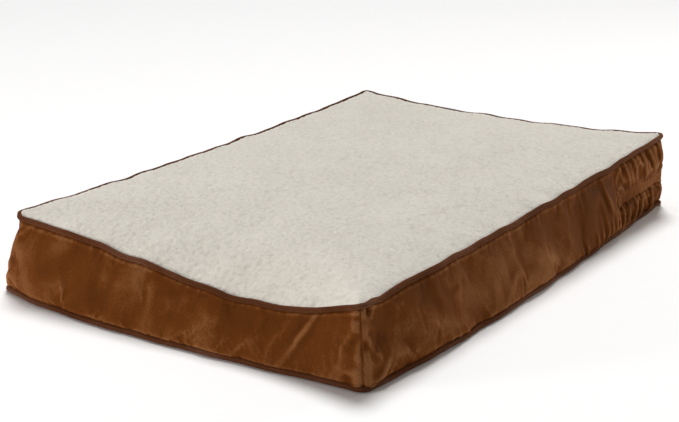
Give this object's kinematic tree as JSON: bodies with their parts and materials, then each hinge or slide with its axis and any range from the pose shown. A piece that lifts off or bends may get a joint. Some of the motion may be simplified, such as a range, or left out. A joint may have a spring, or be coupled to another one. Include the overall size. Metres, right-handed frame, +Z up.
{
  "type": "pet cushion bed",
  "caption": "Rectangular boxed pet bed: sherpa pile top, microsuede sides with piping, a lapped zip round a corner, over foam and fibre layers.",
  "frame": {"origin": "centre of the footprint, on the floor", "axes": "+X along the short side, towards the long side that shows the zip's seam; +Y along the long side, towards the short end that the zip crosses; +Z up"},
  "size_m": [0.61, 0.914, 0.1182],
  "materials": {
    "sherpa": "matte",
    "microsuede": "matte",
    "piping_suede": "matte",
    "filler_cord": "matte",
    "base_foam": "matte",
    "egg_crate_foam": "matte",
    "polyester_fibre": "matte",
    "zip_tape": "matte",
    "zip_coil": "satin",
    "zip_metal": "satin"
  },
  "bodies": {
    "bed": {"sherpa_top_panel": "sherpa", "base_panel": "microsuede", "front_end_panel": "microsuede", "right_side_panel": "microsuede", "left_side_panel": "microsuede", "zip_upper_strip": "microsuede", "zip_lower_strip": "microsuede", "top_piping_cover": "piping_suede", "top_piping_cord": "filler_cord", "bottom_piping_cover": "piping_suede", "bottom_piping_cord": "filler_cord", "base_foam": "base_foam", "egg_crate_foam": "egg_crate_foam", "fibre_fill_pad": "polyester_fibre", "zip_tape_upper": "zip_tape", "zip_tape_lower": "zip_tape", "zip_coil_upper": "zip_coil", "zip_coil_lower": "zip_coil", "zip_top_stop_upper": "zip_metal", "zip_top_stop_lower": "zip_metal", "zip_bottom_stop": "zip_metal"},
    "slider": {"zip_slider": "zip_metal"},
    "pull": {"zip_pull_tab": "zip_metal"}
  },
  "joints": [
    {"name": "zip_slide", "type": "slide", "parent": "bed", "child": "slider", "axis": [1, 0, 0], "range_m": [0, 0.45]},
    {"name": "pull_swing", "type": "hinge", "parent": "slider", "child": "pull", "pos_m": [-0.211, 0.447, 0.055], "axis": [0, 1, 0], "range_deg": [-70, 70]}
  ]
}
